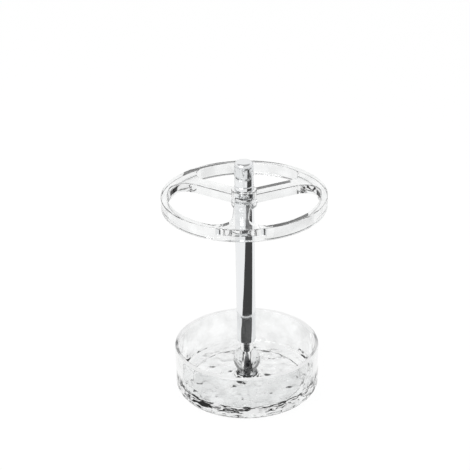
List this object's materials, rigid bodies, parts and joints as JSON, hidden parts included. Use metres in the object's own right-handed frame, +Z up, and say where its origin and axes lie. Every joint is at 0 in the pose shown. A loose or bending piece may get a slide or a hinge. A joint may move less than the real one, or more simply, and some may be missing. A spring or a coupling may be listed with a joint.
{
  "type": "toothbrush holder",
  "caption": "Free-standing toothbrush holder: a clear round drip tray, a polished round post with a cap, and a clear ring divided by spokes for the brushes.",
  "frame": {"origin": "middle of the tray's foot, on the surface that the holder stands on", "axes": "+Z up along the post, -Y along the front spoke of the ring"},
  "size_m": [0.104, 0.104, 0.1586],
  "materials": {
    "clear_plastic": "clear, polished moulded plastic",
    "polished_chrome": "polished",
    "plated_steel": "zinc plated",
    "blackened_steel": "black oxide"
  },
  "bodies": {
    "root": {"base_tray": "clear_plastic", "base_nut": "plated_steel", "base_washer": "plated_steel", "tie_rod": "blackened_steel", "foot_bush": "polished_chrome", "post_tube": "polished_chrome", "brush_ring": "clear_plastic", "lock_nut": "polished_chrome", "post_cap": "polished_chrome"}
  },
  "joints": []
}
